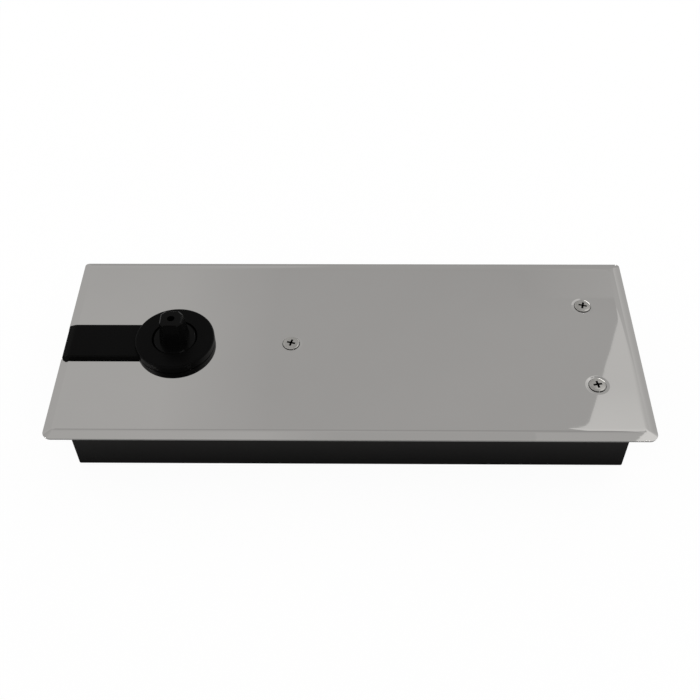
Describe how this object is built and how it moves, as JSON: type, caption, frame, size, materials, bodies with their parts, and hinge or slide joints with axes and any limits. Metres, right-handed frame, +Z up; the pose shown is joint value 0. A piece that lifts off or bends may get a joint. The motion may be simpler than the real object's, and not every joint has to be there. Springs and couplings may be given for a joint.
{
  "type": "floor spring door closer",
  "caption": "Floor spring door closer: cam and sprung piston in an oil-filled body, set in a steel floor box under a polished cover with a tapered square spindle.",
  "frame": {"origin": "underside of the cement box, under the middle of the cover plate", "axes": "+X along the cover from the spindle end to the far end, +Y across it, +Z up"},
  "size_m": [0.325, 0.132, 0.0606],
  "materials": {
    "polished_stainless": "mirror-polished stainless steel sheet",
    "plated_screw": "bright nickel-plated screw",
    "black_plastic": "satin black moulded plastic",
    "black_paint": "satin black painted sheet steel",
    "zinc_steel": "zinc-plated steel",
    "black_steel": "black oxide on steel",
    "cast_iron": "painted grey iron casting",
    "machined_steel": "turned and milled steel",
    "hardened_steel": "ground hardened steel",
    "black_spindle": "black oxide on forged and ground steel",
    "bearing_bronze": "sintered bronze",
    "valve_brass": "turned brass",
    "seal_rubber": "oil-proof rubber",
    "gasket_fibre": "oiled fibre sheet",
    "spring_steel": "oil-tempered spring steel"
  },
  "bodies": {
    "housing": {"cover_plate": "polished_stainless", "cover_screws": "plated_screw", "slot_cover": "black_plastic", "spindle_collar": "black_plastic", "cement_box": "black_paint", "cover_posts": "zinc_steel", "box_studs": "zinc_steel", "closer_body": "cast_iron", "clamp_screws": "zinc_steel", "clamp_washers": "zinc_steel", "level_screws": "black_steel", "side_screws": "zinc_steel", "side_nuts": "zinc_steel", "bearing_cover": "machined_steel", "bearing_cover_gasket": "gasket_fibre", "bearing_cover_screws": "black_steel", "upper_bush": "bearing_bronze", "spindle_seal": "seal_rubber", "lower_bearing_shell": "hardened_steel", "lower_bearing_rollers": "hardened_steel", "thrust_ball": "hardened_steel", "main_spring": "spring_steel", "end_plug": "machined_steel", "end_plug_washer": "gasket_fibre", "filler_plug": "zinc_steel"},
    "spindle": {"spindle": "black_spindle", "cam": "hardened_steel", "cam_key": "machined_steel", "cam_circlip": "spring_steel"},
    "piston": {"piston": "machined_steel", "piston_ring": "seal_rubber", "roller_pin": "hardened_steel", "check_ball_clip": "machined_steel"},
    "follower_roller": {"follower_roller": "hardened_steel"},
    "check_ball": {"check_ball": "hardened_steel"},
    "spring_plate": {"spring_plate": "machined_steel"},
    "adjusting_screw": {"adjusting_screw": "zinc_steel", "adjusting_screw_seal": "seal_rubber"},
    "closing_valve": {"closing_valve": "valve_brass", "closing_valve_seal": "seal_rubber"},
    "latching_valve": {"latching_valve": "valve_brass", "latching_valve_seal": "seal_rubber"}
  },
  "joints": [
    {"name": "spindle_turn", "type": "hinge", "parent": "housing", "child": "spindle", "pos_m": [-0.099, 0, 0.019], "axis": [0, 0, 1], "range_deg": [0, 130]},
    {"name": "piston_slide", "type": "slide", "parent": "housing", "child": "piston", "axis": [1, 0, 0], "range_m": [0, 0.0104], "stiffness_N_per_m": 20000, "deforming": ["main_spring"]},
    {"name": "roller_spin", "type": "hinge", "parent": "piston", "child": "follower_roller", "pos_m": [-0.08, 0, 0.019], "axis": [0, 0, 1], "continuous": true},
    {"name": "check_ball_lift", "type": "slide", "parent": "piston", "child": "check_ball", "axis": [1, 0, 0], "range_m": [0, 0.0009]},
    {"name": "adjusting_screw_turn", "type": "hinge", "parent": "housing", "child": "adjusting_screw", "pos_m": [0.1, 0, 0.019], "axis": [-1, 0, 0], "range_deg": [0, 2880]},
    {"name": "spring_plate_slide", "type": "slide", "parent": "housing", "child": "spring_plate", "axis": [-1, 0, 0], "range_m": [0, 0.01], "deforming": ["main_spring"]},
    {"name": "closing_valve_turn", "type": "hinge", "parent": "housing", "child": "closing_valve", "pos_m": [-0.012, 0.021, 0.019], "axis": [0, 0, 1], "range_deg": [-180, 360]},
    {"name": "latching_valve_turn", "type": "hinge", "parent": "housing", "child": "latching_valve", "pos_m": [-0.028, -0.021, 0.019], "axis": [0, 0, 1], "range_deg": [-180, 360]}
  ],
  "couplings": [
    {"joint": "spindle_turn", "follows": "piston_slide", "rad_per_m": 218.17},
    {"joint": "roller_spin", "follows": "piston_slide", "rad_per_m": -536.03},
    {"joint": "adjusting_screw_turn", "follows": "spring_plate_slide", "rad_per_m": 5026.5}
  ]
}
